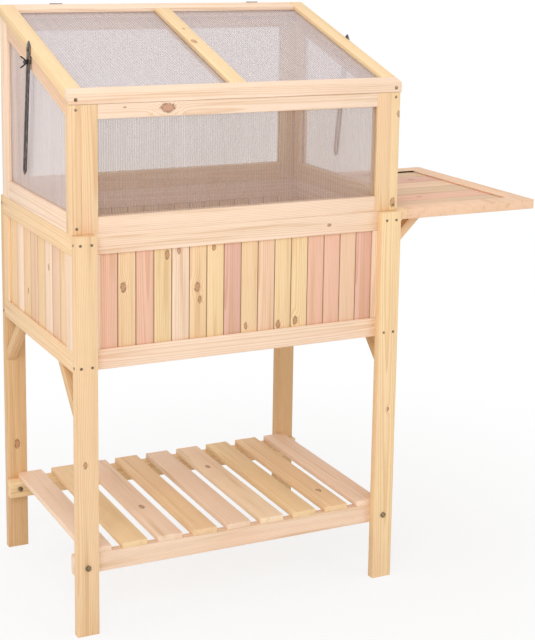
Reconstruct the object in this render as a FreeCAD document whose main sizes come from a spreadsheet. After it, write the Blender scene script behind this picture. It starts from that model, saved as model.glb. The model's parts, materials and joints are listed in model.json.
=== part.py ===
import FreeCAD, Part
import os
import re
import Sketcher

# Cold frame on a raised planter.  Millimetres, +Z up, +X to the right,
# the front faces -Y.  The origin lies on the floor, at the middle of the
# whole outline: the planter, its side shelf and the lid stays.
#
# The lengths below are counted from the outer front corner of the
# front left leg.  place() moves every piece to the origin.

DIMENSIONS = (
    # legs
    ("frame_width", 760.0),
    ("frame_depth", 528.0),
    ("leg_height", 860.0),
    ("leg_width", 48.0),
    ("leg_thick", 19.0),
    # planter box
    ("planter_height", 286.0),
    ("panel_thick", 20.0),
    ("panel_rail", 43.0),
    ("panel_stile", 40.0),
    ("board_thick", 10.0),
    ("board_set", 5.0),
    ("board_entry", 8.0),
    ("board_gap", 0.6),
    ("groove_gap", 0.2),
    ("bearer_size", 25.0),
    ("floor_thick", 10.0),
    ("floor_gap", 6.0),
    # corner braces
    ("brace_reach", 108.0),
    ("brace_thick", 20.0),
    ("brace_width", 22.0),
    ("brace_inset", 3.0),
    # bottom shelf
    ("shelf_level", 173.0),
    ("shelf_rail_height", 42.0),
    ("shelf_rail_thick", 20.0),
    ("slat_width", 57.0),
    ("slat_thick", 13.0),
    ("slat_inset", 26.0),
    ("bolt_radius", 3.0),
    ("bolt_clearance", 0.2),
    ("bolt_head_radius", 6.0),
    ("bolt_head_height", 3.0),
    ("nut_radius", 6.0),
    ("nut_height", 5.0),
    ("nail_radius", 3.0),
    ("nail_height", 0.8),
    ("nail_top_drop", 18.0),
    ("nail_low_rise", 12.0),
    ("post_nail_rise", 13.0),
    ("post_nail_drop", 10.0),
    ("lid_screw_radius", 3.8),
    ("lid_screw_rise", 9.9),
    ("bolt_tail", 2.0),
    # side shelf
    ("side_length", 372.0),
    ("side_inset", 18.0),
    ("side_back_inset", 2.0),
    ("side_thick", 22.0),
    ("side_batten", 26.0),
    ("side_rail", 46.0),
    ("side_board_thick", 10.0),
    ("side_board_drop", 4.0),
    ("side_brace_inset", 58.0),
    # glazed upper box
    ("house_front", 264.0),
    ("house_back", 414.0),
    ("house_thick", 22.0),
    ("post_depth", 34.0),
    ("back_stile", 50.0),
    ("front_stile", 35.0),
    ("front_bottom", 35.0),
    ("front_top", 30.0),
    ("side_bottom", 42.0),
    ("side_top", 32.0),
    ("rear_bottom", 42.0),
    ("rear_top", 36.0),
    ("pane_thick", 4.0),
    ("pane_set", 8.0),
    ("pane_entry", 7.0),
    # lid
    ("lid_thick", 22.0),
    ("lid_over", 3.0),
    ("lid_side", 34.0),
    ("lid_front", 28.0),
    ("lid_back", 30.0),
    ("lid_centre", 37.0),
    ("lid_pane_drop", 9.0),
    # hinges
    ("hinge_inset", 117.0),
    ("hinge_width", 30.0),
    ("hinge_leaf", 1.5),
    ("hinge_drop", 22.0),
    ("hinge_rise", 24.5),
    ("knuckle_radius", 3.0),
    ("hinge_pin_radius", 1.4),
    ("hinge_pin_gap", 0.06),
    ("knuckle_gap", 0.4),
    # lid stays
    ("stay_setback", 232.0),
    ("stay_tilt", 8.5),
    ("stay_length", 297.0),
    ("stay_width", 20.0),
    ("stay_thick", 3.0),
    ("stay_top", 19.0),
    ("stay_gap", 0.5),
    ("stay_bolt_drop", 27.0),
    ("stay_slot_start", 20.0),
    ("stay_slot_end", 8.0),
    ("stay_bolt_radius", 3.0),
    ("stay_bolt_gap", 0.3),
    ("stay_collar_radius", 5.5),
    ("stay_hub_radius", 5.0),
    ("stay_hub_length", 7.0),
    ("stay_bolt_proud", 2.0),
    ("wing_reach", 12.0),
    ("wing_thick", 2.5),
    ("wing_height", 12.0),
    ("wing_start", 5.0),
    ("wing_foot", 3.0),
    ("wing_root", 4.0),
    ("wing_blunt", 1.0),
    ("pivot_radius", 2.2),
    ("pivot_gap", 0.06),
    ("pivot_head_radius", 5.0),
    ("pivot_head_height", 2.0),
)

# how many of each repeated piece
FRONT_BOARDS = 16
SIDE_BOARDS = 8
FLOOR_BOARDS = 8
SLATS = 9
SIDE_SHELF_BOARDS = 6

NAMES = tuple(name for name, value in DIMENSIONS)

doc = FreeCAD.newDocument("cold_frame")
sheet = doc.addObject("Spreadsheet::Sheet", "dims")
for row, (name, value) in enumerate(DIMENSIONS, start=1):
    sheet.set("A%d" % row, name.replace("_", " "))
    sheet.set("B%d" % row, str(value))
    sheet.setAlias("B%d" % row, name)
doc.recompute()


def bound(text):
    """The expression with each named dimension read from the sheet."""
    return re.sub(
        r"[a-z_]+",
        lambda found: "dims." + found.group(0) if found.group(0) in NAMES else found.group(0),
        str(text),
    )


# expressions that several pieces share
STAY_REACH = "(lid_over + stay_gap + stay_thick + stay_bolt_gap + wing_start + wing_height)"
SHIFT_X = "((frame_width + side_length - %s) / 2)" % STAY_REACH
SHIFT_Y = "(frame_depth / 2)"
PLANTER_BOTTOM = "(leg_height - planter_height)"
BOX_BACK = "(frame_depth - leg_thick)"
SLOPE = "atan((house_back - house_front) / (frame_depth - 2 * leg_thick))"
RISE = "((house_back - house_front) / (frame_depth - 2 * leg_thick))"


def roof(y, lift="0"):
    """Height at depth y, lifted square to the slope above the lid's seat."""
    seat = "leg_height + house_front + (%s - leg_thick) * %s" % (y, RISE)
    return "(%s + (%s) / cos(%s))" % (seat, lift, SLOPE)


pieces = []


def keep(label, thing):
    """Name a finished sub-part; its label is its file's name."""
    thing.Label = label
    pieces.append(thing)
    return thing


def place(thing, x, y, z, turn=None):
    """Bind the placement; turn is an (axis, angle) pair of expressions."""
    axis, angle = turn or ("1; 0; 0", "0")
    spot = "create(<<vector>>; %s - %s; %s - %s; %s)" % (x, SHIFT_X, y, SHIFT_Y, z)
    spin = "create(<<rotation>>; create(<<vector>>; %s); %s)" % (axis, angle)
    thing.setExpression("Placement", bound("create(<<placement>>; %s; %s)" % (spot, spin)))
    return thing


def block(x, y, z, length, width, height):
    """A rectangular piece from its low corner and its three sizes."""
    box = doc.addObject("Part::Box", "block")
    box.setExpression("Length", bound(length))
    box.setExpression("Width", bound(width))
    box.setExpression("Height", bound(height))
    return place(box, x, y, z)


def rod(x, y, z, radius, length, along="Z"):
    """A round bar that starts at a point and runs along an axis."""
    turns = {"X": ("0; 1; 0", "90"), "Y": ("1; 0; 0", "-90"), "Z": None, "-X": ("0; 1; 0", "-90")}
    bar = doc.addObject("Part::Cylinder", "rod")
    bar.setExpression("Radius", bound(radius))
    bar.setExpression("Height", bound(length))
    return place(bar, x, y, z, turns[along])


def prism(plane, outline, depth, x="0", y="0", z="0", turn=None):
    """A body padded from an outline of expressions on an origin plane.

    The YZ outline is padded along +X and the XZ outline along -Y.
    """
    body = doc.addObject("PartDesign::Body", "body")
    sketch = body.newObject("Sketcher::SketchObject", "outline")
    base = [part for part in body.Origin.OriginFeatures if part.Role == plane][0]
    sketch.AttachmentSupport = [(base, "")]
    sketch.MapMode = "FlatFace"
    count = len(outline)
    starts = [
        FreeCAD.Vector(100, 0, 0) if k == 0 else
        FreeCAD.Rotation(FreeCAD.Vector(0, 0, 1), 360.0 * k / count).multVec(FreeCAD.Vector(100, 0, 0))
        for k in range(count)
    ]
    for k in range(count):
        sketch.addGeometry(Part.LineSegment(starts[k], starts[(k + 1) % count]), False)
    for k in range(count):
        sketch.addConstraint(Sketcher.Constraint("Coincident", k, 2, (k + 1) % count, 1))
    for k, (across, up) in enumerate(outline):
        for kind, value, start in (("DistanceX", across, starts[k].x), ("DistanceY", up, starts[k].y)):
            index = sketch.addConstraint(Sketcher.Constraint(kind, -1, 1, k, 1, start))
            sketch.setExpression("Constraints[%d]" % index, bound(value))
    pad = body.newObject("PartDesign::Pad", "pad")
    pad.Profile = sketch
    pad.setExpression("Length", bound(depth))
    body.Tip = pad
    return place(body, x, y, z, turn)


def sloped(y_low, y_high, lift_low, lift_high, x, width):
    """A piece with upright ends that lies along the lid's slope."""
    outline = [
        (y_low, roof(y_low, lift_low)),
        (y_high, roof(y_high, lift_low)),
        (y_high, roof(y_high, lift_high)),
        (y_low, roof(y_low, lift_high)),
    ]
    return prism("YZ_Plane", outline, width, x=x)


def upright(y_low, y_high, bottom, x, width, lift="0"):
    """A piece with a level foot and a top that follows the lid's slope."""
    outline = [
        (y_low, bottom),
        (y_high, bottom),
        (y_high, roof(y_high, lift)),
        (y_low, roof(y_low, lift)),
    ]
    return prism("YZ_Plane", outline, width, x=x)


def fuse(things):
    if len(things) == 1:
        return things[0]
    joined = doc.addObject("Part::MultiFuse", "fuse")
    joined.Shapes = things
    return joined


def cut(base, tools):
    """The base with the tools taken out of it."""
    result = doc.addObject("Part::Cut", "cut")
    result.Base = base
    result.Tool = fuse(tools)
    return result


def group(things):
    """Loose pieces of one kind kept as one sub-part."""
    bundle = doc.addObject("Part::Compound", "group")
    bundle.Links = things
    return bundle


# ---------------------------------------------------------------- legs

BOLT_LEVEL = "(shelf_level - shelf_rail_height / 2)"
BOLT_HOLE = "(bolt_radius + bolt_clearance)"
LEFT_BOLT_X = "(leg_width / 2)"
RIGHT_BOLT_X = "(frame_width - leg_width / 2)"
FRONT_GRIP = "(leg_thick + shelf_rail_thick)"
CORNERS = (
    ("front_left", "0", "0", LEFT_BOLT_X),
    ("front_right", "(frame_width - leg_width)", "0", RIGHT_BOLT_X),
    ("back_left", "0", BOX_BACK, LEFT_BOLT_X),
    ("back_right", "(frame_width - leg_width)", BOX_BACK, RIGHT_BOLT_X),
)
for corner, x, y, bolt_x in CORNERS:
    leg = block(x, y, "0", "leg_width", "leg_thick", "leg_height")
    hole = rod(bolt_x, y + " - 1", BOLT_LEVEL, BOLT_HOLE, "leg_thick + 2", "Y")
    keep("leg_" + corner, cut(leg, [hole]))

# ---------------------------------------------------------------- planter panels

RAIL_LOW = "(leg_height - planter_height)"
RAIL_HIGH = "(leg_height - panel_rail)"
STILE_LOW = "(leg_height - planter_height + panel_rail)"
STILE_HEIGHT = "(planter_height - 2 * panel_rail)"
BOARD_LOW = "(%s - board_entry)" % STILE_LOW
BOARD_HEIGHT = "(%s + 2 * board_entry)" % STILE_HEIGHT
GROOVE_LOW = "(%s - groove_gap)" % BOARD_LOW
GROOVE_HEIGHT = "(%s + 2 * groove_gap)" % BOARD_HEIGHT
GROOVE_WIDTH = "(board_thick + 2 * groove_gap)"


def long_panel(label, face, outward):
    """Front or back panel.  face is its outer face, outward is -1 or 1."""
    low = face if outward < 0 else "(%s - panel_thick)" % face
    set_low = "(%s + board_set)" % face if outward < 0 else "(%s - board_set - board_thick)" % face
    start = "panel_thick"
    length = "(frame_width - 2 * panel_thick)"
    field = "(frame_width - 2 * panel_thick - 2 * panel_stile)"
    first = "(panel_thick + panel_stile)"
    groove = block(first, set_low + " - groove_gap", GROOVE_LOW, field, GROOVE_WIDTH, GROOVE_HEIGHT)
    for name, z in (("top", RAIL_HIGH), ("bottom", RAIL_LOW)):
        rail = block(start, low, z, length, "panel_thick", "panel_rail")
        keep("%s_panel_%s_rail" % (label, name), cut(rail, [groove]))
    pitch = "(%s / %d)" % (field, FRONT_BOARDS)
    boards = [
        block(
            "(%s + %s * %d + board_gap / 2)" % (first, pitch, k), set_low, BOARD_LOW,
            "%s - board_gap" % pitch, "board_thick", BOARD_HEIGHT,
        )
        for k in range(FRONT_BOARDS)
    ]
    keep("%s_panel_boards" % label, group(boards))
    ends = (start, "(frame_width - panel_thick - panel_stile)")
    return [block(x, low, STILE_LOW, "panel_stile", "panel_thick", STILE_HEIGHT) for x in ends]


def side_panel(label, face, outward):
    """Left or right panel.  face is its outer face, outward is -1 or 1."""
    low = face if outward < 0 else "(%s - panel_thick)" % face
    set_low = "(%s + board_set)" % face if outward < 0 else "(%s - board_set - board_thick)" % face
    length = "(frame_depth - 2 * leg_thick)"
    field = "(frame_depth - 2 * leg_thick - 2 * panel_stile)"
    first = "(leg_thick + panel_stile)"
    groove = block(set_low + " - groove_gap", first, GROOVE_LOW, GROOVE_WIDTH, field, GROOVE_HEIGHT)
    for name, z in (("top", RAIL_HIGH), ("bottom", RAIL_LOW)):
        rail = block(low, "leg_thick", z, "panel_thick", length, "panel_rail")
        keep("%s_panel_%s_rail" % (label, name), cut(rail, [groove]))
    pitch = "(%s / %d)" % (field, SIDE_BOARDS)
    boards = [
        block(
            set_low, "(%s + %s * %d + board_gap / 2)" % (first, pitch, k), BOARD_LOW,
            "board_thick", "%s - board_gap" % pitch, BOARD_HEIGHT,
        )
        for k in range(SIDE_BOARDS)
    ]
    keep("%s_panel_boards" % label, group(boards))
    ends = ("leg_thick", "(frame_depth - leg_thick - panel_stile)")
    return [block(low, y, STILE_LOW, "panel_thick", "panel_stile", STILE_HEIGHT) for y in ends]


stiles = long_panel("front", "leg_thick", -1)
stiles += long_panel("back", BOX_BACK, 1)
stiles += side_panel("left", "0", -1)
stiles += side_panel("right", "frame_width", 1)
keep("panel_stiles", group(stiles))

# floor boards across two bearers inside the planter
BEARERS = ("(leg_thick + panel_thick)", "(frame_depth - leg_thick - panel_thick - bearer_size)")
INNER_WIDTH = "(frame_width - 2 * panel_thick)"
INNER_DEPTH = "(frame_depth - 2 * leg_thick - 2 * panel_thick)"
bearers = [
    block("panel_thick", y, PLANTER_BOTTOM, INNER_WIDTH, "bearer_size", "bearer_size")
    for y in BEARERS
]
keep("floor_bearers", group(bearers))
FLOOR_PITCH = "((%s + floor_gap) / %d)" % (INNER_WIDTH, FLOOR_BOARDS)
floor = [
    block(
        "(panel_thick + %s * %d)" % (FLOOR_PITCH, k), "(leg_thick + panel_thick)",
        "(%s + bearer_size)" % PLANTER_BOTTOM,
        "%s - floor_gap" % FLOOR_PITCH, INNER_DEPTH, "floor_thick",
    )
    for k in range(FLOOR_BOARDS)
]
keep("floor_boards", group(floor))

# ---------------------------------------------------------------- braces

BRACE_FACE = "(brace_thick * sqrt(2))"


def leg_brace(wall, inward, x):
    """A 45 degree strut between a leg's inner face and the panel above."""
    sign = "+" if inward > 0 else "-"
    outline = [
        (wall, "(%s - brace_reach)" % PLANTER_BOTTOM),
        ("(%s %s brace_reach)" % (wall, sign), PLANTER_BOTTOM),
        ("(%s %s (brace_reach - %s))" % (wall, sign, BRACE_FACE), PLANTER_BOTTOM),
        (wall, "(%s - brace_reach + %s)" % (PLANTER_BOTTOM, BRACE_FACE)),
    ]
    return prism("YZ_Plane", outline, "brace_width", x=x)


BRACE_SIDES = ("brace_inset", "(frame_width - brace_inset - brace_width)")
leg_braces = [
    leg_brace(wall, inward, x)
    for x in BRACE_SIDES
    for wall, inward in (("leg_thick", 1), (BOX_BACK, -1))
]
keep("leg_braces", group(leg_braces))

# ---------------------------------------------------------------- bottom shelf

SHELF_RAIL_LOW = "(shelf_level - shelf_rail_height)"
for label, y in (("front", "leg_thick"), ("back", "(%s - shelf_rail_thick)" % BOX_BACK)):
    rail = block("0", y, SHELF_RAIL_LOW, "frame_width", "shelf_rail_thick", "shelf_rail_height")
    holes = [
        rod(x, y + " - 1", BOLT_LEVEL, BOLT_HOLE, "shelf_rail_thick + 2", "Y")
        for x in (LEFT_BOLT_X, RIGHT_BOLT_X)
    ]
    keep("shelf_%s_rail" % label, cut(rail, holes))
SLAT_PITCH = "((frame_width - 2 * slat_inset - slat_width) / %d)" % (SLATS - 1)
slats = [
    block(
        "(slat_inset + %s * %d)" % (SLAT_PITCH, k), "leg_thick", "shelf_level",
        "slat_width", "(frame_depth - 2 * leg_thick)", "slat_thick",
    )
    for k in range(SLATS)
]
keep("shelf_slats", group(slats))


def hexagon(x, y, z, radius, height, turn):
    nut = doc.addObject("Part::Prism", "hexagon")
    nut.Polygon = 6
    nut.setExpression("Circumradius", bound(radius))
    nut.setExpression("Height", bound(height))
    return place(nut, x, y, z, turn)


# carriage bolts through each leg and shelf rail, head outside
bolts = []
for x in (LEFT_BOLT_X, RIGHT_BOLT_X):
    head = rod(x, "-bolt_head_height", BOLT_LEVEL, "bolt_head_radius", "bolt_head_height", "Y")
    shank = rod(x, "0", BOLT_LEVEL, "bolt_radius", FRONT_GRIP + " + nut_height + bolt_tail", "Y")
    nut = hexagon(x, FRONT_GRIP, BOLT_LEVEL, "nut_radius", "nut_height", ("1; 0; 0", "-90"))
    bolts.append(fuse([head, shank, nut]))
    head = rod(x, "frame_depth", BOLT_LEVEL, "bolt_head_radius", "bolt_head_height", "Y")
    shank = rod(
        x, "frame_depth - %s - nut_height - 2" % FRONT_GRIP, BOLT_LEVEL,
        "bolt_radius", FRONT_GRIP + " + nut_height + bolt_tail", "Y",
    )
    nut = hexagon(
        x, "frame_depth - %s - nut_height" % FRONT_GRIP, BOLT_LEVEL,
        "nut_radius", "nut_height", ("1; 0; 0", "-90"),
    )
    bolts.append(fuse([head, shank, nut]))
keep("shelf_bolts", group(bolts))

# ---------------------------------------------------------------- side shelf

SIDE_END = "(frame_width + side_length)"
SIDE_LOW = "(leg_height - side_thick)"
SIDE_START = "(frame_width + side_batten)"
SIDE_DEPTH = "(frame_depth - side_inset - side_back_inset)"
keep("side_shelf_batten", block("frame_width", "side_inset", SIDE_LOW, "side_batten", SIDE_DEPTH, "side_thick"))
FIELD_START = SIDE_START
FIELD_LENGTH = "(side_length - side_batten - side_rail)"
FIELD_LOW = "(side_inset + side_rail)"
FIELD_WIDTH = "(%s - 2 * side_rail)" % SIDE_DEPTH
SIDE_BOARD_LOW = "(leg_height - side_board_drop - side_board_thick)"
side_groove = block(
    FIELD_START, FIELD_LOW + " - board_entry - groove_gap", SIDE_BOARD_LOW + " - groove_gap",
    FIELD_LENGTH + " + board_entry + groove_gap", FIELD_WIDTH + " + 2 * board_entry + 2 * groove_gap",
    "side_board_thick + 2 * groove_gap",
)
side_rails = [
    block(SIDE_START, y, SIDE_LOW, "(side_length - side_batten)", "side_rail", "side_thick")
    for y in ("side_inset", "(frame_depth - side_back_inset - side_rail)")
]
side_rails.append(
    block("(%s - side_rail)" % SIDE_END, FIELD_LOW, SIDE_LOW, "side_rail", FIELD_WIDTH, "side_thick")
)
keep("side_shelf_rails", group([cut(rail, [side_groove]) for rail in side_rails]))
SIDE_PITCH = "((%s + 2 * board_entry) / %d)" % (FIELD_WIDTH, SIDE_SHELF_BOARDS)
side_boards = [
    block(
        FIELD_START, "(%s - board_entry + %s * %d + board_gap / 2)" % (FIELD_LOW, SIDE_PITCH, k),
        SIDE_BOARD_LOW, FIELD_LENGTH + " + board_entry", SIDE_PITCH + " - board_gap",
        "side_board_thick",
    )
    for k in range(SIDE_SHELF_BOARDS)
]
keep("side_shelf_boards", group(side_boards))
# each strut's foot reaches in past the rail's face to the planter's boards
side_outline = [
    ("-board_set", "-(brace_reach + board_set)"),
    ("brace_reach", "0"),
    ("(brace_reach - %s)" % BRACE_FACE, "0"),
    ("-board_set", "-(brace_reach + board_set) + %s" % BRACE_FACE),
]
side_braces = [
    prism("XZ_Plane", side_outline, "brace_width", x="frame_width", y=y, z=SIDE_LOW)
    for y in (
        "(side_inset + side_brace_inset + brace_width)",
        "(frame_depth - side_back_inset - side_brace_inset)",
    )
]
keep("side_shelf_braces", group(side_braces))

# ---------------------------------------------------------------- glazed box

DEPTH = "(frame_depth - 2 * leg_thick)"
FRONT_POST_BACK = "(leg_thick + post_depth)"
BACK_STILE_FRONT = "(%s - back_stile)" % BOX_BACK
SIDES = (("left", "0", "pane_set"), ("right", "(frame_width - house_thick)", "(frame_width - pane_set - pane_thick)"))
posts = []
rear_stiles = []
side_panes = []
for label, x, pane_x in SIDES:
    posts.append(upright("leg_thick", FRONT_POST_BACK, "leg_height", x, "house_thick"))
    rear_stiles.append(upright(BACK_STILE_FRONT, BOX_BACK, "leg_height", x, "house_thick"))
    pane_outline = [
        (FRONT_POST_BACK + " - pane_entry", "(leg_height + side_bottom - pane_entry)"),
        (BACK_STILE_FRONT + " + pane_entry", "(leg_height + side_bottom - pane_entry)"),
        (BACK_STILE_FRONT + " + pane_entry", roof("(%s + pane_entry)" % BACK_STILE_FRONT, "pane_entry - side_top")),
        (FRONT_POST_BACK + " - pane_entry", roof("(%s - pane_entry)" % FRONT_POST_BACK, "pane_entry - side_top")),
    ]
    side_panes.append(prism("YZ_Plane", pane_outline, "pane_thick", x=pane_x))
    room = "(pane_entry + groove_gap)"
    groove_outline = [
        (FRONT_POST_BACK + " - " + room, "(leg_height + side_bottom - %s)" % room),
        (BACK_STILE_FRONT + " + " + room, "(leg_height + side_bottom - %s)" % room),
        (BACK_STILE_FRONT + " + " + room, roof("(%s + %s)" % (BACK_STILE_FRONT, room), "%s - side_top" % room)),
        (FRONT_POST_BACK + " - " + room, roof("(%s - %s)" % (FRONT_POST_BACK, room), "%s - side_top" % room)),
    ]
    groove = prism(
        "YZ_Plane", groove_outline, "pane_thick + 2 * groove_gap", x=pane_x + " - groove_gap"
    )
    posts[-1] = cut(posts[-1], [groove])
    rear_stiles[-1] = cut(rear_stiles[-1], [groove])
    bottom = block(
        x, FRONT_POST_BACK, "leg_height", "house_thick",
        "(%s - post_depth - back_stile)" % DEPTH, "side_bottom",
    )
    keep("%s_bottom_rail" % label, cut(bottom, [groove]))
    top = sloped(FRONT_POST_BACK, BACK_STILE_FRONT, "-side_top", "0", x, "house_thick")
    keep("%s_top_rail" % label, cut(top, [groove]))
keep("side_panes", group(side_panes))
keep("front_posts", group(posts))
keep("rear_stiles", group(rear_stiles))

INNER_START = "house_thick"
INNER_LENGTH = "(frame_width - 2 * house_thick)"
OPEN_START = "(house_thick + front_stile)"
OPEN_LENGTH = "(frame_width - 2 * house_thick - 2 * front_stile)"


def glazed_wall(label, y, pane_y, low, top_edge):
    """Front or rear frame between the side frames, with its pane."""
    height = "(%s - leg_height - %s)" % (top_edge, low)
    room = "(pane_entry + groove_gap)"
    groove = block(
        "(%s - %s)" % (OPEN_START, room), pane_y + " - groove_gap", "(leg_height + %s - %s)" % (low, room),
        "(%s + 2 * %s)" % (OPEN_LENGTH, room), "pane_thick + 2 * groove_gap", "(%s + 2 * %s)" % (height, room),
    )
    y_high = "(%s + house_thick)" % y
    sides = [
        upright(y, y_high, "leg_height", x, "front_stile")
        for x in (INNER_START, "(frame_width - house_thick - front_stile)")
    ]
    keep("%s_frame_stiles" % label, group([cut(side, [groove]) for side in sides]))
    bottom = block(OPEN_START, y, "leg_height", OPEN_LENGTH, "house_thick", low)
    keep("%s_frame_bottom" % label, cut(bottom, [groove]))
    top = upright(y, y_high, top_edge, OPEN_START, OPEN_LENGTH)
    keep("%s_frame_top" % label, cut(top, [groove]))
    pane = block(
        "(%s - pane_entry)" % OPEN_START, pane_y, "(leg_height + %s - pane_entry)" % low,
        "(%s + 2 * pane_entry)" % OPEN_LENGTH, "pane_thick", "(%s + 2 * pane_entry)" % height,
    )
    keep("%s_pane" % label, pane)


glazed_wall(
    "front", "leg_thick", "(leg_thick + pane_set)", "front_bottom",
    "(leg_height + house_front - front_top)",
)
glazed_wall(
    "rear", "(%s - house_thick)" % BOX_BACK, "(%s - pane_set - pane_thick)" % BOX_BACK, "rear_bottom",
    "(leg_height + house_back - rear_top)",
)

# ---------------------------------------------------------------- lid

LID_START = "(-lid_over)"
LID_WIDTH = "(frame_width + 2 * lid_over)"
BAR_FRONT = "(leg_thick + lid_front)"
BAR_BACK = "(%s - lid_back)" % BOX_BACK
LID_OPEN = "(lid_side - lid_over)"
LID_OPEN_WIDTH = "(%s - 2 * lid_side)" % LID_WIDTH
CENTRE_START = "(frame_width / 2 - lid_centre / 2)"
PANE_WIDTH = "((%s - lid_centre) / 2 + 2 * pane_entry)" % LID_OPEN_WIDTH
PANE_STARTS = (
    "(%s - pane_entry)" % LID_OPEN,
    "(%s + lid_centre - pane_entry)" % CENTRE_START,
)


def lid_pane(x, width, extra):
    """A pane, or the room cut for it when extra is a clearance."""
    return sloped(
        "(%s - pane_entry - %s)" % (BAR_FRONT, extra), "(%s + pane_entry + %s)" % (BAR_BACK, extra),
        "(lid_thick - lid_pane_drop - pane_thick - %s)" % extra, "(lid_thick - lid_pane_drop + %s)" % extra,
        "(%s - %s)" % (x, extra), "(%s + 2 * %s)" % (width, extra),
    )


lid_grooves = [lid_pane(x, PANE_WIDTH, "groove_gap") for x in PANE_STARTS]
keep("lid_panes", group([lid_pane(x, PANE_WIDTH, "0") for x in PANE_STARTS]))
PIVOT_Y = "(%s - stay_setback)" % BOX_BACK
PIVOT_Z = roof(PIVOT_Y, "lid_thick / 2")
LID_BARS = (
    ("lid_front_rail", "leg_thick", BAR_FRONT, LID_START, LID_WIDTH),
    ("lid_left_bar", BAR_FRONT, BOX_BACK, LID_START, "lid_side"),
    ("lid_right_bar", BAR_FRONT, BOX_BACK, "(frame_width + lid_over - lid_side)", "lid_side"),
    ("lid_back_rail", BAR_BACK, BOX_BACK, LID_OPEN, LID_OPEN_WIDTH),
    ("lid_centre_bar", BAR_FRONT, BAR_BACK, CENTRE_START, "lid_centre"),
)
for label, y_low, y_high, x, width in LID_BARS:
    bar = sloped(y_low, y_high, "0", "lid_thick", x, width)
    keep(label, cut(bar, lid_grooves))

# ---------------------------------------------------------------- hinges

HINGE_Y = "(%s + knuckle_radius + knuckle_gap)" % BOX_BACK
HINGE_Z = "(leg_height + house_back)"
KNUCKLE = "(hinge_width / 3)"
fixed_leaves = []
lid_leaves = []
for x in ("hinge_inset", "(frame_width - hinge_inset - hinge_width)"):
    middle = "(%s + %s)" % (x, KNUCKLE)
    bore = rod(x + " - 1", HINGE_Y, HINGE_Z, "hinge_pin_radius + hinge_pin_gap", "hinge_width + 2", "X")
    cover = rod(
        middle + " - knuckle_gap", HINGE_Y, HINGE_Z, "knuckle_radius + knuckle_gap",
        KNUCKLE + " + 2 * knuckle_gap", "X",
    )
    notch = block(
        middle + " - knuckle_gap", "%s - 0.01" % BOX_BACK, HINGE_Z + " - knuckle_radius - knuckle_gap",
        KNUCKLE + " + 2 * knuckle_gap", "2 * (knuckle_radius + knuckle_gap)", "knuckle_radius + 2 * knuckle_gap",
    )
    leaf = block(x, BOX_BACK, HINGE_Z + " - hinge_drop", "hinge_width", "hinge_leaf", "hinge_drop")
    barrel = rod(x, HINGE_Y, HINGE_Z, "knuckle_radius", "hinge_width", "X")
    fixed_leaves.append(cut(fuse([leaf, barrel]), [bore, cover, notch]))
    leaf = block(
        x, BOX_BACK, HINGE_Z + " + knuckle_radius + knuckle_gap", "hinge_width", "hinge_leaf",
        "hinge_rise - knuckle_radius - knuckle_gap",
    )
    neck = block(middle, BOX_BACK, HINGE_Z, KNUCKLE, "hinge_leaf", "hinge_rise")
    barrel = rod(middle, HINGE_Y, HINGE_Z, "knuckle_radius", KNUCKLE, "X")
    pin = rod(x, HINGE_Y, HINGE_Z, "hinge_pin_radius", "hinge_width", "X")
    lid_leaves.append(fuse([leaf, neck, barrel, pin]))
keep("hinge_fixed_leaves", group(fixed_leaves))
keep("hinge_lid_leaves", group(lid_leaves))

# ---------------------------------------------------------------- lid stays

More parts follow.
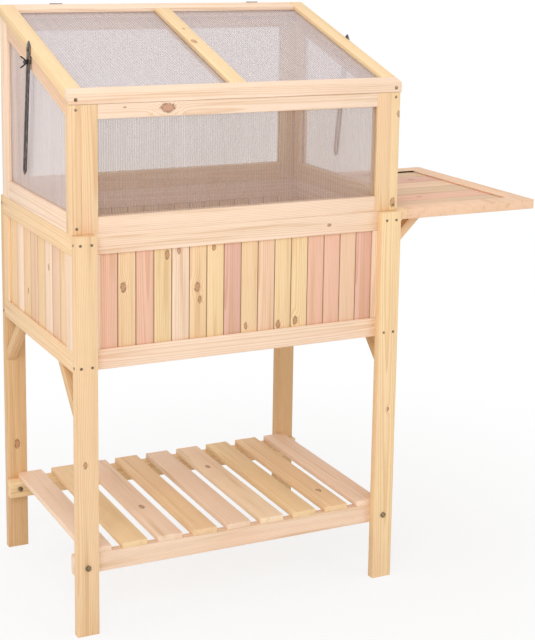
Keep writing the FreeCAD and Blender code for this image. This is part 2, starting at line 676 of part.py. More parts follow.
BOLT_Y = "(%s + stay_bolt_drop * sin(stay_tilt))" % PIVOT_Y
BOLT_Z = "(%s - stay_bolt_drop * cos(stay_tilt))" % PIVOT_Z
TILT = ("1; 0; 0", "stay_tilt")
SLOT_HALF = "(stay_bolt_radius + stay_bolt_gap)"
SLOT_LENGTH = "(stay_length - stay_top - stay_slot_start - stay_slot_end)"
BAR_OUT = "(lid_over + stay_gap)"
pivots = []
for label, side in (("left", -1), ("right", 1)):

    def out(distance, length):
        """Start in X of something that begins a distance outside the box."""
        if side < 0:
            return "(-(%s) - (%s))" % (distance, length)
        return "(frame_width + (%s))" % distance

    # the slotted flat bar hangs from its pivot and is tilted about it
    bar = prism(
        "YZ_Plane",
        [
            ("(-stay_width / 2)", "(stay_top - stay_width / 2)"),
            ("0", "stay_top"),
            ("(stay_width / 2)", "(stay_top - stay_width / 2)"),
            ("(stay_width / 2)", "(stay_top - stay_length + stay_width / 2)"),
            ("0", "(stay_top - stay_length)"),
            ("(-stay_width / 2)", "(stay_top - stay_length + stay_width / 2)"),
        ],
        "stay_thick", x=out(BAR_OUT, "stay_thick"), y=PIVOT_Y, z=PIVOT_Z, turn=TILT,
    )
    slot = prism(
        "YZ_Plane",
        [
            ("(-%s)" % SLOT_HALF, "(-stay_slot_start)"),
            (SLOT_HALF, "(-stay_slot_start)"),
            (SLOT_HALF, "(-stay_slot_start - %s)" % SLOT_LENGTH),
            ("(-%s)" % SLOT_HALF, "(-stay_slot_start - %s)" % SLOT_LENGTH),
        ],
        "stay_thick + 2", x=out(BAR_OUT + " - 1", "stay_thick + 2"), y=PIVOT_Y, z=PIVOT_Z, turn=TILT,
    )
    eye = rod(
        out(BAR_OUT + " - 1", "stay_thick + 2"), PIVOT_Y, PIVOT_Z, "pivot_radius + pivot_gap",
        "stay_thick + 2", "X",
    )
    keep("%s_stay" % label, cut(bar, [slot, eye]))
    # the pivot screw's head and its neck on the lid's edge
    reach = "(stay_gap + stay_thick + stay_gap)"
    neck = rod(out("lid_over", reach), PIVOT_Y, PIVOT_Z, "pivot_radius", reach, "X")
    head = rod(
        out("lid_over + " + reach, "pivot_head_height"), PIVOT_Y, PIVOT_Z, "pivot_head_radius",
        "pivot_head_height", "X",
    )
    pivots.append(fuse([neck, head]))
    # the clamping bolt, its collar behind the bar and its end through the wing nut
    collar_start = "stay_bolt_gap"
    collar_length = "(%s - 2 * stay_bolt_gap)" % BAR_OUT
    nut_start = "(%s + stay_thick + stay_bolt_gap)" % BAR_OUT
    shank_length = "(%s + stay_hub_length + stay_bolt_proud - stay_bolt_gap)" % nut_start
    collar = rod(out(collar_start, collar_length), BOLT_Y, BOLT_Z, "stay_collar_radius", collar_length, "X")
    shank = rod(out(collar_start, shank_length), BOLT_Y, BOLT_Z, "stay_bolt_radius", shank_length, "X")
    keep("%s_stay_bolt" % label, fuse([collar, shank]))
    # the wing nut, its wings up and down
    hub = rod(out(nut_start, "stay_hub_length"), BOLT_Y, BOLT_Z, "stay_hub_radius", "stay_hub_length", "X")
    wings = []
    for up in (-1, 1):
        foot = "(%d * wing_foot)" % up
        tip = "(%d * wing_reach)" % up
        blunt = "(%s + %d * wing_blunt)" % (tip, up)
        line = [
            ("0", foot),
            ("(%d * wing_height)" % side, tip),
            ("(%d * (wing_height - wing_root))" % side, blunt),
            ("(-%d * wing_root)" % side, foot),
        ]
        start = "(%s + wing_start)" % nut_start
        wings.append(
            prism(
                "XZ_Plane", line, "wing_thick", x=out(start, "0"), y=BOLT_Y + " + wing_thick / 2", z=BOLT_Z,
            )
        )
    bore = rod(
        out(nut_start + " - 1", "stay_hub_length + 2"), BOLT_Y, BOLT_Z, "stay_bolt_radius + pivot_gap",
        "stay_hub_length + 2", "X",
    )
    keep("%s_wing_nut" % label, cut(fuse([hub] + wings), [bore]))

# ---------------------------------------------------------------- nail and screw heads

NAIL_IN = "(leg_width / 4)"
NAIL_LEVELS = ("(leg_height - nail_top_drop)", "(%s + nail_low_rise)" % PLANTER_BOTTOM)
heads = []
for x in (NAIL_IN, "(leg_width - %s)" % NAIL_IN):
    for start in (x, "(frame_width - leg_width + %s)" % x):
        for z in NAIL_LEVELS:
            heads.append(rod(start, "-nail_height", z, "nail_radius", "nail_height", "Y"))
            heads.append(rod(start, "frame_depth", z, "nail_radius", "nail_height", "Y"))
for x in ("(house_thick / 2)", "(frame_width - house_thick / 2)"):
    for z in ("(leg_height + post_nail_rise)", "(leg_height + house_front - post_nail_drop)"):
        heads.append(rod(x, "(leg_thick - nail_height)", z, "nail_radius", "nail_height", "Y"))
for y in ("(leg_thick / 2)", "(frame_depth - leg_thick / 2)"):
    for z in NAIL_LEVELS:
        heads.append(rod("-nail_height", y, z, "nail_radius", "nail_height", "X"))
    # on the right the side shelf's batten covers the upper ones
    heads.append(rod("frame_width", y, NAIL_LEVELS[1], "nail_radius", "nail_height", "X"))
keep("nail_heads", group(heads))
screws = [
    rod(x, "(leg_thick - nail_height)", roof("leg_thick", "lid_screw_rise"), "lid_screw_radius", "nail_height", "Y")
    for x in ("(house_thick / 2)", "(frame_width - house_thick / 2)")
]
keep("lid_screws", group(screws + pivots))

# ---------------------------------------------------------------- build and write

doc.recompute()
for thing in doc.Objects:
    if "Invalid" in thing.State or "Error" in thing.State:
        raise RuntimeError("%s (%s) did not build: %s" % (thing.Label, thing.Name, thing.State))
labels = [piece.Label for piece in pieces]
if len(set(labels)) != len(labels):
    raise RuntimeError("two sub-parts share a label")
for piece in pieces:
    if piece.Shape.isNull() or not piece.Shape.isValid():
        raise RuntimeError("%s has no sound shape" % piece.Label)

os.makedirs("parts", exist_ok=True)
box = FreeCAD.BoundBox()
for piece in pieces:
    piece.Shape.exportStep("parts/%s.step" % piece.Label)
    box.add(piece.Shape.BoundBox)
print("%d sub-parts, %d solids" % (len(pieces), sum(len(piece.Shape.Solids) for piece in pieces)))
print("box x %.3f %.3f  y %.3f %.3f  z %.3f %.3f" % (box.XMin, box.XMax, box.YMin, box.YMax, box.ZMin, box.ZMax))
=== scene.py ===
"""The looks of a raised wooden cold frame: fir boards, fluted clear sheet and dark steel fittings."""
import json
import math
import random

import bmesh
import bpy
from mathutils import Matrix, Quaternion, Vector


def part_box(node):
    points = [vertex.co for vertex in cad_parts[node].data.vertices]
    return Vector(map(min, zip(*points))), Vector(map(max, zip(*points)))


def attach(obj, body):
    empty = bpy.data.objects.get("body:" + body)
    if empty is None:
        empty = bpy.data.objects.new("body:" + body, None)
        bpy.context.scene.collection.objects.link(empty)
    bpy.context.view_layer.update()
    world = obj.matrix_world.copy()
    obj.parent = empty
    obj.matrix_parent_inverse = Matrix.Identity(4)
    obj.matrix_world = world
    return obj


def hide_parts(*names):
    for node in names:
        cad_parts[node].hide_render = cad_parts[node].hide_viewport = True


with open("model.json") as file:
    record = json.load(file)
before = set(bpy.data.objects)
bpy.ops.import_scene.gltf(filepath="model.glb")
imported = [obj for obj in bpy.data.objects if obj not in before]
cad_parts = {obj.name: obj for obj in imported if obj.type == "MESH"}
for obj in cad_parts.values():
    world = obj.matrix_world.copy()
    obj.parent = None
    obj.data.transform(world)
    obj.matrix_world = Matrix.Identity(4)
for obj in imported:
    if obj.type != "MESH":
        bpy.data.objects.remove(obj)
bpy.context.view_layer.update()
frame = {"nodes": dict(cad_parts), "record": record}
BODY_OF = {node: body for body, nodes in frame["record"]["behaviour"]["bodies"].items() for node in nodes}


# ---------------------------------------------------------------- shader maths


class Value:
    """A number in a material's node tree, with the usual operators."""

    def __init__(self, make, socket):
        self.make = make
        self.socket = socket

    def __add__(self, other):
        return self.make.math("ADD", self, other)

    def __radd__(self, other):
        return self.make.math("ADD", other, self)

    def __sub__(self, other):
        return self.make.math("SUBTRACT", self, other)

    def __rsub__(self, other):
        return self.make.math("SUBTRACT", other, self)

    def __mul__(self, other):
        return self.make.math("MULTIPLY", self, other)

    def __rmul__(self, other):
        return self.make.math("MULTIPLY", other, self)

    def __truediv__(self, other):
        return self.make.math("DIVIDE", self, other)

    def __pow__(self, other):
        return self.make.math("POWER", self, other)


class Maker:
    """Adds the nodes of one material, or of the world."""

    def __init__(self, owner):
        self.owner = owner
        self.owner.use_nodes = True
        self.tree = self.owner.node_tree
        self.tree.nodes.clear()

    def node(self, kind, settings=None, inputs=None):
        made = self.tree.nodes.new(kind)
        for key, value in (settings or {}).items():
            setattr(made, key, value)
        for key, value in (inputs or {}).items():
            socket = made.inputs[key]
            if isinstance(value, Value):
                self.tree.links.new(value.socket, socket)
            elif hasattr(value, "is_output"):
                self.tree.links.new(value, socket)
            else:
                socket.default_value = value
        return made

    def number(self, kind, settings=None, inputs=None, output=0):
        return Value(self, self.node(kind, settings, inputs).outputs[output])

    def math(self, operation, *values):
        return self.number("ShaderNodeMath", {"operation": operation}, dict(enumerate(values)))

    def attribute(self, name, output="Vector"):
        return self.node("ShaderNodeAttribute", {"attribute_name": name}).outputs[output]

    def split(self, vector):
        made = self.node("ShaderNodeSeparateXYZ", None, {0: vector})
        return [Value(self, made.outputs[k]) for k in range(3)]

    def join(self, x, y, z):
        return self.node("ShaderNodeCombineXYZ", None, {0: x, 1: y, 2: z}).outputs[0]

    def noise(self, vector, scale=1.0, detail=2.0, rough=0.5):
        inputs = {"Vector": vector, "Scale": scale, "Detail": detail, "Roughness": rough}
        return self.number("ShaderNodeTexNoise", None, inputs)

    def step(self, value, low, high):
        """0 below low and 1 above high, with a smooth run between."""
        settings = {"interpolation_type": "SMOOTHSTEP"}
        return self.number("ShaderNodeMapRange", settings, {0: value, 1: low, 2: high, 3: 0.0, 4: 1.0})

    def mix(self, factor, one, other, blend="MIX"):
        settings = {"data_type": "RGBA", "blend_type": blend}
        made = self.node("ShaderNodeMix", settings, {0: factor, 6: one, 7: other})
        return made.outputs[2]

    def finish(self, **inputs):
        named = {name.replace("_", " "): value for name, value in inputs.items()}
        shader = self.node("ShaderNodeBsdfPrincipled", None, named)
        self.node("ShaderNodeOutputMaterial", None, {0: shader.outputs[0]})
        return self.owner


# ---------------------------------------------------------------- finishes

# the width of one flute of the sheet, in metres
FLUTE = 0.006


def knot_marks(make, name, along, across, seed):
    """One knot of a board: how far it pushes the rings aside, its core and its dark rim."""
    middle, offset, size = make.split(make.attribute(name))
    reach = make.math("MAXIMUM", size, 0.0001)
    run = (along - middle) / reach
    side = (across - offset) / reach
    wobble = make.noise(make.join(along * 150.0, across * 150.0, seed), 1.0, 2.0) * 0.5 + 0.75
    away = (run * run * 0.30 + side * side) ** 0.5 * wobble
    present = make.step(size, 0.0005, 0.001)
    bend = make.math("EXPONENT", away * away * -0.35) * present
    core = (1 - make.step(away, 0.80, 1.05)) * present
    patch = make.noise(make.join(along * 260.0, across * 260.0, seed * 5.0), 1.0, 3.0)
    band = make.step(away, 0.55, 0.9) * (1 - make.step(away, 0.95, 1.3))
    rim = band * present * make.step(patch, 0.34, 0.62)
    return bend * reach * 1.3, core, rim


def fir():
    """Planed fir: growth rings through the board, fibres along it, and its knots."""
    make = Maker(bpy.data.materials.new("planed_fir"))
    along, across, deep = make.split(make.attribute("grain"))
    seed = Value(make, make.attribute("seed", "Fac"))
    drift = make.noise(make.join(along * 1.7, across * 5.0, seed * 7.3), 1.0, 2.0) - 0.5
    lean = make.noise(make.join(along * 0.8, seed * 3.1, 4.0), 1.0, 1.0) - 0.5
    swell_a, core_a, rim_a = knot_marks(make, "knot_a", along, across, seed)
    swell_b, core_b, rim_b = knot_marks(make, "knot_b", along, across, seed)
    core = core_a + core_b

    # growth rings round a pith behind the board
    centre = seed * 0.061 - 0.03 + lean * 0.05
    out = across - centre + drift * 0.006
    into = deep + 0.022 + lean * 0.02
    distance = (out * out + into * into) ** 0.5 + (swell_a + swell_b)
    rings = make.math("FRACT", distance * 330.0 + drift * 1.6)
    late = make.step(rings, 0.35, 0.9) * (1 - make.step(rings, 0.93, 1.0))
    fibre = make.noise(make.join(along * 22.0, across * 900.0, deep * 900.0), 1.0, 3.0, 0.6)
    streak = make.noise(make.join(along * 2.6, across * 75.0, deep * 75.0 + seed * 9.0), 1.0, 3.0, 0.55)
    cloud = make.noise(make.join(along * 3.4, across * 14.0, seed * 11.0), 1.0, 2.0)

    # the board's own tone, lighter in the streaks and darker in the late wood
    tone = make.attribute("tone", "Color")
    dusk = make.mix(1.0, tone, (0.87, 0.72, 0.60, 1), "MULTIPLY")
    glow = make.mix(1.0, tone, (1.10, 1.12, 1.20, 1), "MULTIPLY")
    body = make.mix(make.step(streak, 0.36, 0.66) * 0.75, glow, tone)
    body = make.mix(late * (0.25 + 0.75 * cloud), body, dusk)
    body = make.mix(make.step(cloud, 0.50, 0.75) * 0.34, body, (0.86, 0.53, 0.36, 1))
    body = make.mix(make.step(streak, 0.57, 0.72) * 0.50, body, (0.64, 0.38, 0.18, 1))
    body = make.mix(make.step(fibre, 0.42, 0.72) * 0.26, body, dusk)

    # painted shade: dark lines in the seams between boards in a row
    wide = Value(make, make.attribute("wide", "Fac"))
    edge = make.math("MINIMUM", across, wide - across)
    seam_shade = (1 - make.step(edge, 0.0003, 0.0016)) * make.step(wide, 0.001, 0.002)
    # the seams' dark colour is painted shade
    body = make.mix(seam_shade * 0.72, body, (0.36, 0.20, 0.10, 1))
    # painted shade: a dark line along the lid's lower edge, where it sits on the box
    lip = Value(make, make.attribute("lip", "Fac"))
    body = make.mix((1 - make.step(lip, 0.0004, 0.0018)) * 0.7, body, (0.30, 0.17, 0.08, 1))
    body = make.mix(make.math("MINIMUM", core * (0.45 + 0.5 * cloud), 1.0), body, (0.44, 0.18, 0.085, 1))
    body = make.mix(make.math("MINIMUM", (rim_a + rim_b) * 0.8, 1.0), body, (0.19, 0.085, 0.045, 1))

    height = fibre * 0.5 + late * 0.35 + core * 0.4
    bump = make.node("ShaderNodeBump", None, {"Strength": 0.22, "Distance": 0.0006, "Height": height})
    rough = 0.56 + fibre * 0.16 - late * 0.05
    return make.finish(Base_Color=body, Roughness=rough, Normal=bump.outputs[0])


def fluted_sheet():
    """Milky twin-wall sheet: fine webs between two skins."""
    make = Maker(bpy.data.materials.new("fluted_clear_sheet"))
    across, along, deep = make.split(make.attribute("flute"))
    phase = make.math("FRACT", across / FLUTE)
    web = make.math("SINE", phase * math.tau) * 0.5 + 0.5
    haze = make.noise(make.join(across * 3.0, along * 3.0, deep * 2.0), 1.0, 2.0)
    lines = make.noise(make.join(across * 60.0, along * 1.5, 0.0), 1.0, 2.0)
    # the pane's tint, which carries painted light and shade pane by pane
    tone = make.attribute("tone", "Color")
    pale = make.mix(1.0, tone, (1.22, 1.24, 1.27, 1), "MULTIPLY")
    colour = make.mix(web * 0.75 + lines * 0.25, tone, pale)
    body = Value(make, make.attribute("tone", "Alpha"))
    alpha = body * (0.55 + web * 0.90 + (lines - 0.5) * 0.30 + (haze - 0.5) * 0.30)
    bump = make.node("ShaderNodeBump", None, {"Strength": 0.03, "Distance": 0.0004, "Height": web})
    return make.finish(
        Base_Color=colour, Roughness=0.22 + lines * 0.12, Alpha=alpha, Normal=bump.outputs[0],
        Specular_IOR_Level=0.6,
    )


def dark_steel(name, colour, worn, metal, rough):
    """Coated steel, mottled where the coat is worn."""
    make = Maker(bpy.data.materials.new(name))
    place = make.node("ShaderNodeTexCoord").outputs["Object"]
    mottle = make.noise(place, 130.0, 3.0)
    fine = make.noise(place, 900.0, 2.0)
    body = make.mix(make.step(mottle, 0.42, 0.72), (*colour, 1), (*worn, 1))
    bump = make.node("ShaderNodeBump", None, {"Strength": 0.15, "Distance": 0.0002, "Height": fine})
    return make.finish(
        Base_Color=body, Metallic=metal, Roughness=rough + (mottle - 0.5) * 0.25, Normal=bump.outputs[0],
    )


def pale_ground():
    """Plain white ground that keeps the object's shadow."""
    make = Maker(bpy.data.materials.new("pale_ground"))
    place = make.node("ShaderNodeTexCoord").outputs["Object"]
    shade = make.mix(make.noise(place, 1.2, 2.0), (0.90, 0.90, 0.895, 1), (0.92, 0.92, 0.915, 1))
    matt = make.node("ShaderNodeBsdfDiffuse", None, {0: shade})
    white = make.node("ShaderNodeEmission", None, {0: (1, 1, 1, 1), 1: 1.0})
    away = make.number("ShaderNodeVectorMath", {"operation": "LENGTH"}, {0: place}, "Value")
    seen = make.node("ShaderNodeLightPath").outputs["Is Camera Ray"]
    share = Value(make, seen) * (0.80 + 0.20 * make.step(away, 0.5, 1.5))
    mix = make.node("ShaderNodeMixShader", None, {0: share, 1: matt.outputs[0], 2: white.outputs[0]})
    make.node("ShaderNodeOutputMaterial", None, {0: mix.outputs[0]})
    return make.owner


FIR = fir()
SHEET = fluted_sheet()
STEEL = dark_steel("bronzed_steel", (0.10, 0.088, 0.085), (0.26, 0.22, 0.21), 0.75, 0.36)
BLACK = dark_steel("black_steel", (0.018, 0.017, 0.017), (0.05, 0.046, 0.045), 0.6, 0.45)
HEADS = dark_steel("fixing_steel", (0.16, 0.11, 0.065), (0.33, 0.25, 0.17), 0.8, 0.4)

# ---------------------------------------------------------------- timber

CREAM = (0.86, 0.605, 0.345)
# a darker honey tone that is painted shade, for the parts that stand in shade: the back legs, the leg braces
# and one side-shelf rail
SHADED_HONEY = (0.72, 0.485, 0.245)
HAZEL = (0.74, 0.52, 0.33)
STRAW = (0.86, 0.63, 0.345)
PEACH = (0.83, 0.565, 0.37)
ROSE = (0.80, 0.485, 0.335)
MAUVE = (0.74, 0.44, 0.325)
BLUSH = (0.90, 0.68, 0.49)
PALE = (0.90, 0.70, 0.47)

# the tones of each node's boards, in order along the row
TONES = {
    "front_panel_boards": (
        ROSE, CREAM, ROSE, STRAW, BLUSH, CREAM, STRAW, MAUVE,
        CREAM, PEACH, STRAW, STRAW, ROSE, ROSE, PEACH, MAUVE,
    ),
    "left_panel_boards": (CREAM, PEACH, BLUSH, CREAM, PEACH, CREAM, BLUSH, CREAM),
    "right_panel_boards": (PEACH, CREAM, BLUSH, CREAM, ROSE, CREAM, PEACH, STRAW),
    "side_shelf_boards": (HAZEL, ROSE, HAZEL, PEACH, MAUVE, HAZEL),
    "shelf_slats": (BLUSH, STRAW, BLUSH, CREAM, BLUSH, PALE, STRAW, CREAM, BLUSH),
    "leg_front_left": (CREAM,),
    "leg_front_right": (STRAW,),
    # the back legs take the shaded honey tone: painted shade
    "leg_back_left": (SHADED_HONEY,),
    "leg_back_right": (SHADED_HONEY,),
    "front_panel_top_rail": (BLUSH,),
    "front_panel_bottom_rail": (BLUSH,),
    "lid_front_rail": (BLUSH,),
    "lid_back_rail": (BLUSH,),
    "lid_left_bar": (STRAW,),
    "lid_right_bar": (STRAW,),
    "lid_centre_bar": (STRAW,),
    "front_frame_bottom": (BLUSH,),
    "front_frame_top": (BLUSH,),
    "front_frame_stiles": (CREAM, CREAM),
    "front_posts": (CREAM, STRAW),
    "shelf_front_rail": (BLUSH,),
    # the last side-shelf rail and the leg braces take the shaded honey tone: painted shade
    "side_shelf_rails": (PEACH, PEACH, SHADED_HONEY),
    "leg_braces": (SHADED_HONEY, SHADED_HONEY, SHADED_HONEY, SHADED_HONEY),
}
# the tones that other boards are picked from
SHARES = (CREAM, STRAW, PEACH, BLUSH, CREAM)

# knots: the board's number in its row, how far along it, how far across, and the radius in metres
KNOTS = {
    "front_panel_boards": (
        (1, 0.62, 0.3, 0.006), (3, 0.90, 0.75, 0.005), (4, 0.93, 0.4, 0.004), (5, 0.55, 0.45, 0.006),
        (5, 0.42, 0.6, 0.004), (6, 0.93, 0.4, 0.004), (8, 0.10, 0.3, 0.004), (10, 0.08, 0.25, 0.005),
        (11, 0.10, 0.3, 0.005),
    ),
    "leg_front_left": ((0, 0.44, 0.40, 0.004),),
    "leg_front_right": ((0, 0.47, 0.6, 0.003),),
    "front_posts": ((1, 0.07, 0.30, 0.006), (1, 0.79, 0.55, 0.004)),
    "lid_centre_bar": ((0, 0.53, 0.35, 0.006), (0, 0.70, 0.5, 0.003)),
    "left_panel_boards": ((2, 0.7, 0.5, 0.004), (5, 0.3, 0.4, 0.004)),
    "shelf_slats": ((2, 0.35, 0.5, 0.006), (5, 0.7, 0.4, 0.005), (7, 0.2, 0.6, 0.005)),
    "side_shelf_boards": ((1, 0.4, 0.5, 0.004), (4, 0.75, 0.5, 0.005)),
    "leg_back_left": ((0, 0.3, 0.5, 0.006), (0, 0.18, 0.4, 0.004)),
    "front_frame_top": ((0, 0.235, 0.48, 0.009), (0, 0.09, 0.6, 0.002)),
    "front_panel_top_rail": ((0, 0.79, 0.5, 0.003),),
    "back_panel_boards": ((3, 0.4, 0.5, 0.006), (9, 0.7, 0.4, 0.005)),
    "right_panel_boards": ((1, 0.4, 0.5, 0.005), (6, 0.7, 0.5, 0.005)),
}

# how far along, how far across and how large, for knots that aren't placed by hand
KNOT_RANGES = ((0.15, 0.85), (0.3, 0.7), (0.003, 0.006))
# rows where such a knot turns up here and there, and rows with painted shade in the seams between the boards
PLAIN_KNOTS = ("floor_boards", "right_panel_boards", "back_panel_boards", "rear_stiles", "shelf_back_rail")
SHADED_SEAM_ROWS = (
    "front_panel_boards", "left_panel_boards", "right_panel_boards", "back_panel_boards", "side_shelf_boards",
)


# how far edges are rounded, in metres, and the angle in degrees past which an edge stays crisp
TIMBER_EASE = 0.0011
STEEL_EASE = 0.00025
SMOOTH = 35


def islands(mesh):
    """The separate boards of a mesh, each a list of vertices, in the same order at every run."""
    seen = set()
    found = []
    for first in mesh.verts:
        if first in seen:
            continue
        seen.add(first)
        group = [first]
        for vert in group:
            for edge in vert.link_edges:
                other = edge.other_vert(vert)
                if other not in seen:
                    seen.add(other)
                    group.append(other)
        found.append(group)
    return found


def board_axes(group):
    """A board's own directions: along its longest edges, across its wider side, and through it."""
    longest = max((edge for vert in group for edge in vert.link_edges), key=lambda edge: edge.calc_length())
    along = (longest.verts[1].co - longest.verts[0].co).normalized()
    if max(along, key=abs) < 0:
        along = -along
    others = sorted(
        (axis - along * axis.dot(along) for axis in (Vector((1, 0, 0)), Vector((0, 1, 0)), Vector((0, 0, 1)))),
        key=lambda axis: -axis.length,
    )
    first = others[0].normalized()
    second = along.cross(first).normalized()
    spread = {}
    for axis in (first, second):
        reach = [vert.co.dot(axis) for vert in group]
        spread[axis.freeze()] = max(reach) - min(reach)
    if spread[first.freeze()] >= spread[second.freeze()]:
        return along, first, second
    return along, second, first


def above_box(point):
    """How far a point of the lid is above the sloping top of the glazed box."""
    near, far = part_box("lid_front_rail")[0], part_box("rear_stiles")[1]
    return point.z - near.z - (point.y - near.y) * (far.z - near.z) / (far.y - near.y)


def merged(node, gap, flat):
    """A copy of a node's mesh with its loose triangles joined into whole faces."""
    mesh = bmesh.new()
    mesh.from_mesh(frame["nodes"][node].data)
    bmesh.ops.remove_doubles(mesh, verts=mesh.verts, dist=gap)
    bmesh.ops.dissolve_limit(mesh, angle_limit=math.radians(flat), verts=mesh.verts, edges=mesh.edges)
    return mesh


def ease_edges(mesh, size, turn):
    """Rounds the edges whose faces turn by more than an angle in degrees."""
    limit = math.radians(turn)
    sharp = [edge for edge in mesh.edges if edge.is_manifold and edge.calc_face_angle(0) > limit]
    bmesh.ops.bevel(
        mesh, geom=sharp, offset=size, offset_type="OFFSET", affect="EDGES", segments=2, profile=0.5,
        material=-1, clamp_overlap=True,
    )


def boards_in_row(mesh):
    """Each board's middle, its own directions and its vertices, in order along the row."""
    rows = []
    for group in islands(mesh):
        middle = sum((vert.co for vert in group), Vector()) / len(group)
        rows.append((middle, board_axes(group), group))
    spread = [max(board[0][k] for board in rows) - min(board[0][k] for board in rows) for k in range(3)]
    row = spread.index(max(spread))
    return sorted(rows, key=lambda board: board[0][row])


def timber(node):
    """A node's boards with eased edges, and each board's own grain, tone and knots."""
    mesh = merged(node, 0.00002, 1)
    layers = mesh.verts.layers
    for name in ("grain", "knot_a", "knot_b"):
        layers.float_vector.new(name)
    for name in ("seed", "wide", "lip"):
        layers.float.new(name)
    layers.float_color.new("tone")
    grain, *knots = (layers.float_vector[name] for name in ("grain", "knot_a", "knot_b"))
    seed, wide, lip = (layers.float[name] for name in ("seed", "wide", "lip"))
    tone = layers.float_color["tone"]
    dice = random.Random(node)
    tones = TONES.get(node, ())
    for place, (_, axes, group) in enumerate(boards_in_row(mesh)):
        start = [min(vert.co.dot(axis) for vert in group) for axis in axes]
        end = [max(vert.co.dot(axis) for vert in group) for axis in axes]
        number = dice.random()
        colour = tones[place] if place < len(tones) else dice.choice(SHARES)
        lift = 0.97 + 0.05 * dice.random()
        own = [knot for knot in KNOTS.get(node, ()) if knot[0] == place]
        if node in PLAIN_KNOTS and dice.random() < 0.3:
            own = [(place, *(dice.uniform(low, high) for low, high in KNOT_RANGES))]
        length, width = end[0] - start[0], end[1] - start[1]
        # each board takes its grain from its own stretch of the timber
        shift = number * 3.0
        for vert in group:
            local = [vert.co.dot(axis) - low for axis, low in zip(axes, start)]
            if node == "front_posts":
                # their knots show on the face that looks forward
                local[1:] = local[:0:-1]
            vert[grain] = Vector((local[0] + shift, local[1], local[2]))
            vert[seed] = number
            # the lid's height above the box top, which places painted shade along its lower edge
            vert[lip] = above_box(vert.co) if node.startswith("lid_") else 1.0
            # the board's width, which places the painted shade along its seams
            vert[wide] = width if node in SHADED_SEAM_ROWS else 0.0
            vert[tone] = (colour[0] * lift, colour[1] * lift, colour[2] * lift, 1)
            for layer, (_, run, side, radius) in zip(knots, own):
                vert[layer] = Vector((shift + run * length, side * width, radius))
    ease_edges(mesh, TIMBER_EASE, 30)
    finish_piece(mesh, node, "timber_" + node, FIR)


def finish_piece(mesh, node, name, material):
    """Makes the object that stands in for a node, on that node's body and slot."""
    data = bpy.data.meshes.new(name)
    mesh.to_mesh(data)
    mesh.free()
    data.materials.append(material)
    for polygon in data.polygons:
        polygon.use_smooth = True
    piece = bpy.data.objects.new(name, data)
    bpy.context.scene.collection.objects.link(piece)
    data.set_sharp_from_angle(angle=math.radians(SMOOTH))
    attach(piece, BODY_OF[node])
    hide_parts(node)


def sheets(node):
    """Panes with the direction of their flutes."""
    mesh = merged(node, 0.00002, 1)
    mesh.verts.layers.float_vector.new("flute")
    mesh.verts.layers.float_color.new("tone")
    flute, tone = mesh.verts.layers.float_vector["flute"], mesh.verts.layers.float_color["tone"]
    across = 1 if node == "side_panes" else 0
    for vert in mesh.verts:
        vert[flute] = Vector((vert.co[across] + 2.0, vert.co.z, vert.co[1 - across]))
        # each pane's tint, with its painted light and shade
        vert[tone] = PANE_TINTS_WITH_SHADE[node]
    finish_piece(mesh, node, "sheet_" + node, SHEET)


def steelwork(node):
    """A steel part with softened edges."""
    mesh = merged(node, 0.00001, 0.5)
    ease_edges(mesh, STEEL_EASE, 40)
    finish_piece(mesh, node, "steel_" + node, STEELS[node])


# the panes' tints, and how milky each is; the one sheet gets a different brightness on each pane, which is
# painted light and shade
PANE_TINTS_WITH_SHADE = {
    "lid_panes": (0.62, 0.54, 0.54, 0.46),
    "side_panes": (0.80, 0.70, 0.67, 0.40),
    "front_pane": (0.56, 0.46, 0.41, 0.20),
    "rear_pane": (0.72, 0.62, 0.58, 0.32),
}
STEELS = {
    "left_stay": STEEL, "right_stay": STEEL, "left_stay_bolt": STEEL, "right_stay_bolt": STEEL,
    "left_wing_nut": BLACK, "right_wing_nut": BLACK, "hinge_fixed_leaves": STEEL, "hinge_lid_leaves": STEEL,
    "nail_heads": HEADS, "lid_screws": HEADS, "shelf_bolts": HEADS,
}
for node in sorted(frame["nodes"]):
    if node in PANE_TINTS_WITH_SHADE:
        sheets(node)
    elif node in STEELS:
        steelwork(node)
    else:
        timber(node)

# ---------------------------------------------------------------- ground, light and camera


def ground():
    """A flat floor that reaches past everything in view."""
    mesh = bmesh.new()
    bmesh.ops.create_grid(mesh, x_segments=1, y_segments=1, size=14)
    data = bpy.data.meshes.new("ground")
    mesh.to_mesh(data)
    mesh.free()
    data.materials.append(pale_ground())
    piece = bpy.data.objects.new("ground", data)
    bpy.context.scene.collection.objects.link(piece)


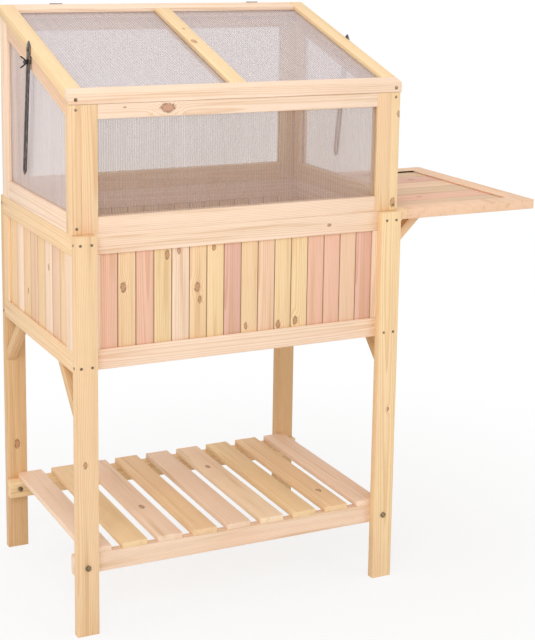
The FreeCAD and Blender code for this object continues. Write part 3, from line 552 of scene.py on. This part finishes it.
def sky():
    """Soft white light from all round, plain white where it is seen, mirrored or seen through the sheet."""
    world = bpy.data.worlds.new("studio")
    bpy.context.scene.world = world
    make = Maker(world)
    soft = make.node("ShaderNodeBackground", None, {0: (1, 1, 1, 1), 1: 0.45})
    white = make.node("ShaderNodeBackground", None, {0: (1, 1, 1, 1), 1: 1.0})
    ray = make.node("ShaderNodeLightPath").outputs
    seen = make.math("MAXIMUM", ray["Is Camera Ray"], ray["Is Glossy Ray"])
    seen = make.math("MAXIMUM", seen, ray["Is Transmission Ray"])
    mix = make.node("ShaderNodeMixShader", None, {0: seen, 1: soft.outputs[0], 2: white.outputs[0]})
    make.node("ShaderNodeOutputWorld", None, {0: mix.outputs[0]})


def lamp(name, place, aim, size, power):
    """A square soft lamp, turned to face its aim."""
    data = bpy.data.lights.new(name, "AREA")
    data.shape = "SQUARE"
    data.size = size
    data.energy = power
    thing = bpy.data.objects.new(name, data)
    thing.location = place
    thing.rotation_euler = (Vector(aim) - Vector(place)).to_track_quat("-Z", "Y").to_euler()
    bpy.context.scene.collection.objects.link(thing)


def camera():
    """The viewpoint: in front, to the left, a little above the lid."""
    azimuth, height, roll = math.radians(-26.180), math.radians(10.389), math.radians(0.869)
    back = Vector((
        math.sin(azimuth) * math.cos(height), -math.cos(azimuth) * math.cos(height), math.sin(height),
    ))
    data = bpy.data.cameras.new("camera")
    data.sensor_width = 36
    data.lens = 83.3304
    data.shift_y = -0.1875
    data.clip_end = 60
    thing = bpy.data.objects.new("camera", data)
    thing.location = (-1.48746, -3.03389, 1.47432)
    turn = (-back).to_track_quat("-Z", "Y")
    thing.rotation_mode = "QUATERNION"
    thing.rotation_quaternion = turn @ Quaternion((0, 0, 1), roll)
    bpy.context.scene.collection.objects.link(thing)
    bpy.context.scene.camera = thing


ground()
sky()
lamp("key", (-2.2, -3.4, 3.4), (0, 0, 0.7), 2.6, 80)
lamp("fill", (2.6, -3.4, 1.4), (0, 0, 0.5), 2.8, 40)
lamp("top", (0.2, 0.8, 4.2), (0, 0, 0.6), 3.0, 46)
lamp("side", (-4.0, -0.3, 1.7), (0, 0, 0.8), 2.4, 40)
camera()
bpy.context.scene.view_settings.view_transform = "Standard"
